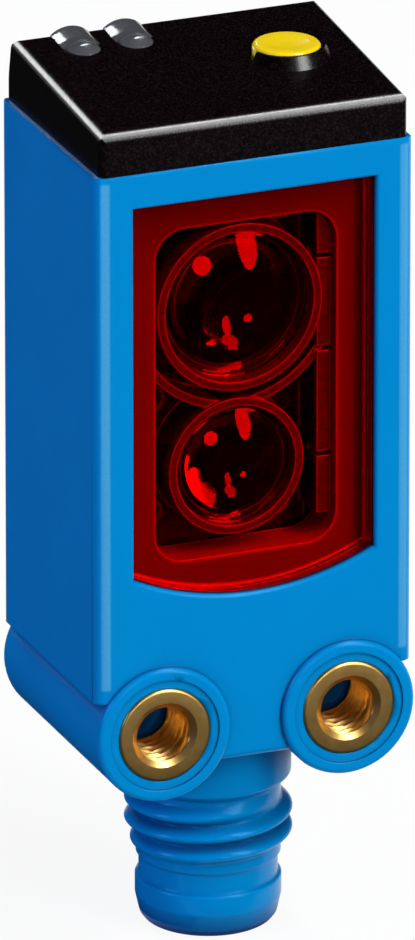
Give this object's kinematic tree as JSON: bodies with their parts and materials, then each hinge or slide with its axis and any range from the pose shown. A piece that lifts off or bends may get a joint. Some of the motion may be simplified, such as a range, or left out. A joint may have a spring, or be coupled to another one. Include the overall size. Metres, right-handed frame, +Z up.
{
  "type": "photoelectric sensor",
  "caption": "Miniature photoelectric sensor in a blue block housing with red front window, teach button, indicator light pipes, tapped mounting lugs and a threaded round plug.",
  "frame": {"origin": "on the plug's axis at the plane of its tip, under the middle of the part", "axes": "+Z up along the plug's axis to the top cover, -Y out of the red window, +X to the right seen from the front"},
  "size_m": [0.016, 0.0124, 0.0436],
  "materials": {
    "housing_blue": "satin moulded blue plastic",
    "window_red": "polished red plastic",
    "seal_grey": "pale moulded frame",
    "cover_black": "fine matte texture",
    "seal_dark": "matte",
    "button_yellow": "soft satin",
    "light_pipe": "clear polished plastic",
    "insert_brass": "turned",
    "carrier_dark": "matte moulded",
    "lens_clear": "polished",
    "board_green": "solder mask",
    "chip_dark": "moulded",
    "led_red": "clear resin",
    "capacitor_tan": "ceramic",
    "pin_gold": "gold plated",
    "led_green": "resin",
    "led_yellow": "resin",
    "switch_steel": "stamped",
    "resin_dark": "cast"
  },
  "bodies": {
    "sensor": {"housing": "housing_blue", "front_window": "window_red", "window_seal": "seal_grey", "top_cover": "cover_black", "cover_seal": "seal_dark", "power_light_pipe": "light_pipe", "signal_light_pipe": "light_pipe", "front_inserts": "insert_brass", "rear_inserts": "insert_brass", "optics_carrier": "carrier_dark", "receiver_lens": "lens_clear", "sender_lens": "lens_clear", "optics_board": "board_green", "photo_receiver": "chip_dark", "sender_led": "led_red", "main_board": "board_green", "signal_chip": "chip_dark", "output_driver": "chip_dark", "chip_capacitors": "capacitor_tan", "board_links": "pin_gold", "indicator_board": "board_green", "power_led": "led_green", "signal_led": "led_yellow", "tact_switch": "switch_steel", "connector_sleeve": "housing_blue", "pin_carrier": "carrier_dark", "contact_pins": "pin_gold", "sealing_resin": "resin_dark", "connector_board": "board_green"},
    "button": {"teach_button": "button_yellow", "switch_plunger": "chip_dark"}
  },
  "joints": [
    {"name": "button_press", "type": "slide", "parent": "sensor", "child": "button", "axis": [0, 0, -1], "range_m": [0, 0.0003], "stiffness_N_per_m": 4000}
  ]
}
